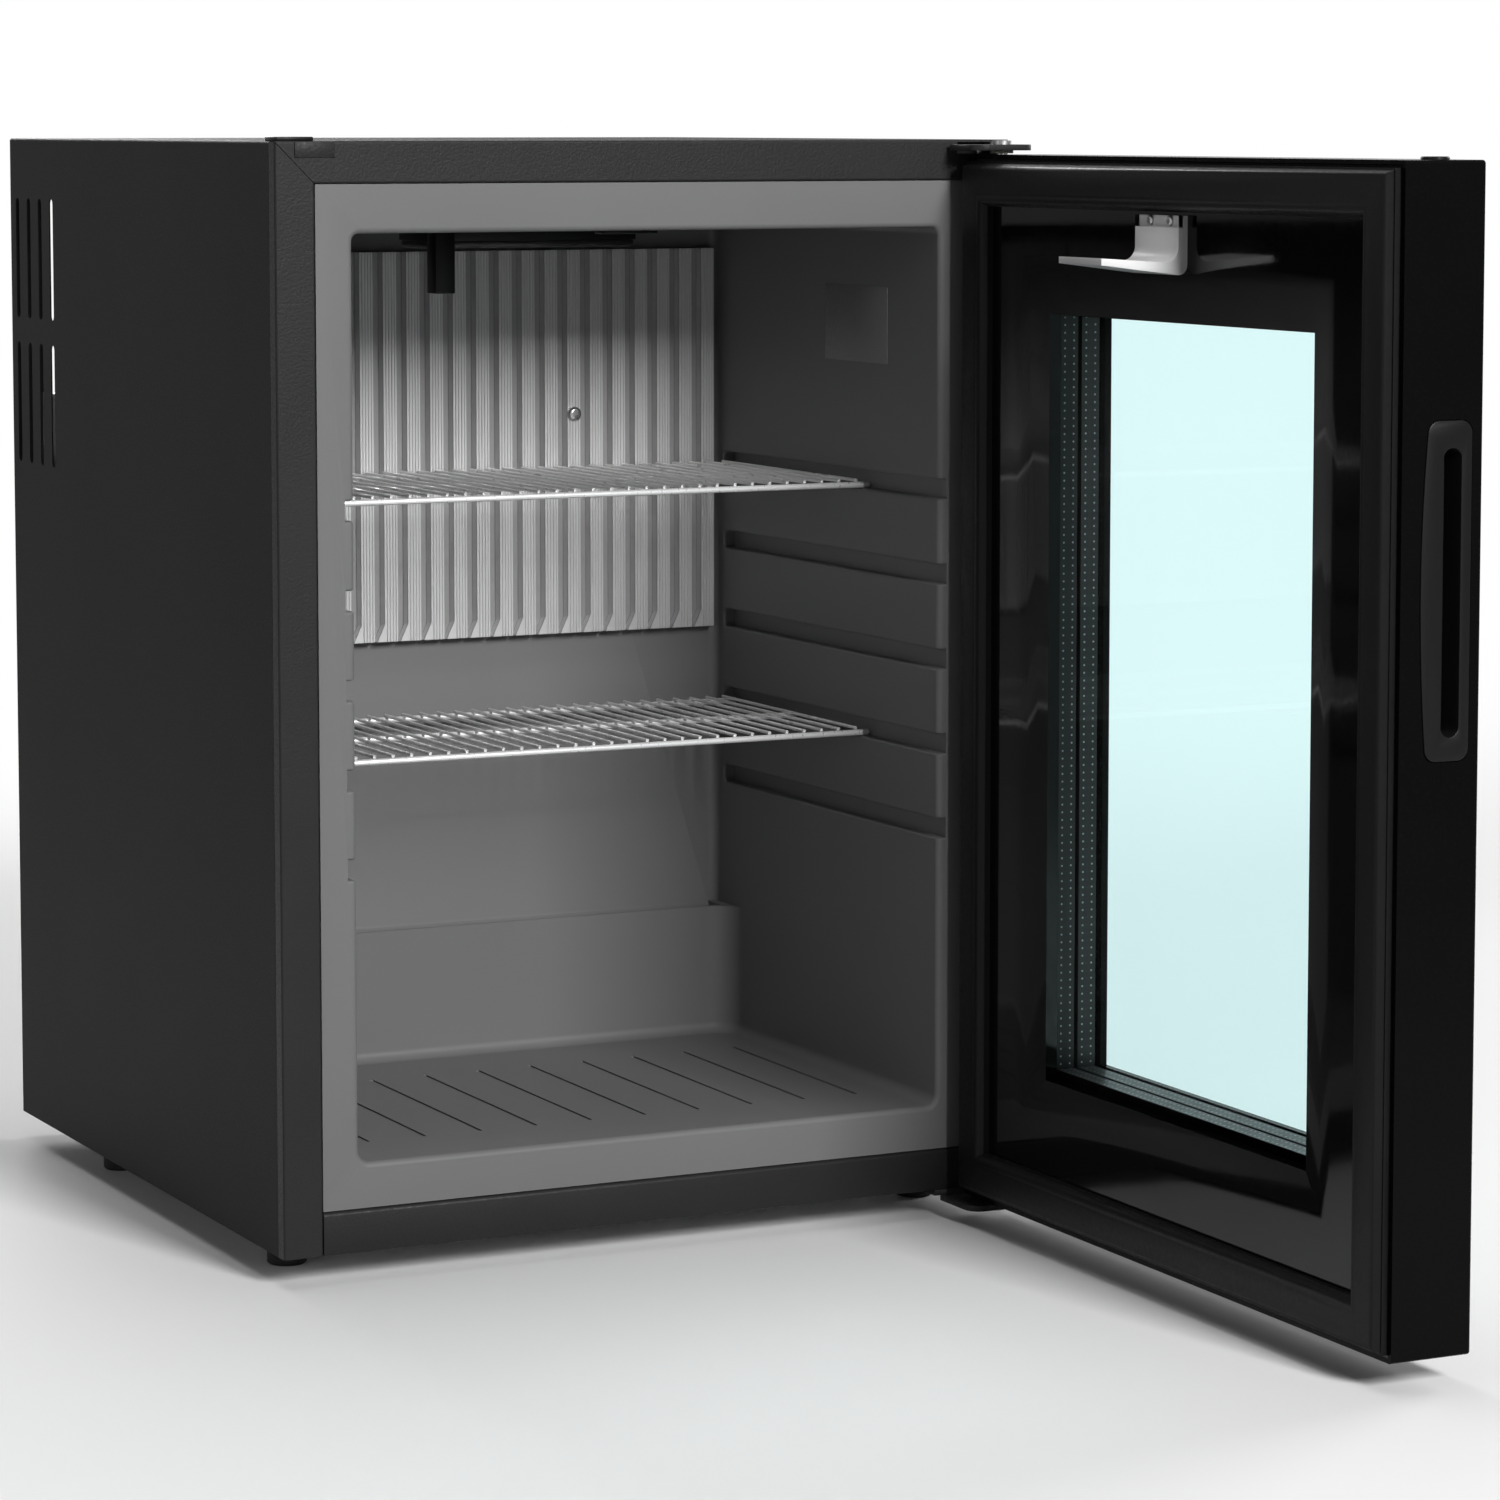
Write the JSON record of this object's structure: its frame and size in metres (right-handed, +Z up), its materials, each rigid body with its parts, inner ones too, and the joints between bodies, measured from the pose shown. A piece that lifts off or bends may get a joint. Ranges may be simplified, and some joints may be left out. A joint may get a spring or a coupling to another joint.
{
  "type": "minibar fridge",
  "caption": "Compact hotel minibar fridge with a hinged insulating glass door, wire shelves, a finned cooling plate and a silent cooling unit at the rear.",
  "frame": {"origin": "on the floor, under the middle of the cabinet's footprint", "axes": "+X to the right seen from the front, -Y out of the front, +Z up; the door is hinged at +X and stands square open towards -Y"},
  "size_m": [0.418, 0.8151, 0.562],
  "materials": {
    "cabinet_paint": "fine orange-peel powder paint, satin",
    "frame_paint": "orange-peel paint, satin",
    "galvanised_sheet": "galvanised, dull",
    "liner_plastic": "fine satin, drawn sheet",
    "foam": "rigid foam skin",
    "cooling_aluminium": "extruded, fine lines",
    "unit_paint": "satin black tube paint",
    "jacket_sheet": "pale grey",
    "mineral_wool": "wool",
    "steel_fastener": "zinc plated",
    "shelf_wire": "bright chrome",
    "black_plastic": "satin black",
    "dark_lens": "smoked lamp lens",
    "board": "circuit board",
    "label_foil": "bare satin foil",
    "clear_plastic": "grey pipe",
    "foot_rubber": "matte rubber",
    "door_plastic": "black, satin to gloss",
    "panel_gloss": "piano black",
    "gasket_rubber": "soft satin",
    "magnet_strip": "filled with magnet powder",
    "clear_glass": "clear float glass",
    "spacer_aluminium": "perforated bar",
    "edge_seal": "sealant",
    "white_plastic": "satin pale grey white",
    "nylon": "nylon"
  },
  "bodies": {
    "cabinet": {"outer_wrap": "cabinet_paint", "front_stiles": "frame_paint", "front_top_rail": "frame_paint", "front_bottom_rail": "frame_paint", "base_plate": "galvanised_sheet", "feet": "foot_rubber", "foot_screws": "steel_fastener", "inner_liner": "liner_plastic", "insulation_foam": "foam", "foam_back_panel": "galvanised_sheet", "drain_spout": "clear_plastic", "drip_tray": "black_plastic", "evaporator_plate": "cooling_aluminium", "evaporator_screws": "steel_fastener", "evaporator_block": "cooling_aluminium", "evaporator_tube": "unit_paint", "lamp_housing": "black_plastic", "lamp_lens": "dark_lens", "lamp_board": "board", "sensor_cover": "black_plastic", "temperature_sensor": "steel_fastener", "light_switch": "black_plastic", "blank_label": "label_foil", "top_hinge_bracket": "frame_paint", "bottom_hinge_bracket": "frame_paint", "hinge_anchors": "galvanised_sheet", "hinge_screws": "steel_fastener", "hinge_pins": "steel_fastener", "hinge_washers": "nylon", "hinge_slot_cover": "frame_paint", "top_corner_cap": "black_plastic", "boiler_jacket": "jacket_sheet", "boiler_insulation": "mineral_wool", "boiler_tube": "unit_paint", "heating_element": "steel_fastener", "condenser_tube": "unit_paint", "condenser_fins": "unit_paint", "absorber_coil": "unit_paint", "absorber_vessel": "unit_paint", "heat_exchanger": "unit_paint", "unit_rails": "galvanised_sheet", "control_box": "black_plastic", "control_box_cover": "black_plastic", "mains_inlet": "black_plastic"},
    "door": {"door_frame": "door_plastic", "door_foam": "foam", "inner_door_panel": "panel_gloss", "door_gasket": "gasket_rubber", "gasket_magnet": "magnet_strip", "outer_pane": "clear_glass", "inner_panes": "clear_glass", "glass_spacers": "spacer_aluminium", "glass_edge_seals": "edge_seal", "handle_insert": "black_plastic", "door_bushes": "nylon", "door_hole_cap": "black_plastic", "door_striker": "white_plastic", "striker_screws": "steel_fastener"},
    "upper_shelf": {"upper_shelf": "shelf_wire"},
    "lower_shelf": {"lower_shelf": "shelf_wire"}
  },
  "joints": [
    {"name": "door_hinge", "type": "hinge", "parent": "cabinet", "child": "door", "pos_m": [0.186, -0.2245, 0.283], "axis": [0, 0, 1], "range_deg": [-90, 15]},
    {"name": "upper_shelf_slide", "type": "slide", "parent": "cabinet", "child": "upper_shelf", "axis": [0, -1, 0], "range_m": [0, 0.075]},
    {"name": "lower_shelf_slide", "type": "slide", "parent": "cabinet", "child": "lower_shelf", "axis": [0, -1, 0], "range_m": [0, 0.075]}
  ]
}
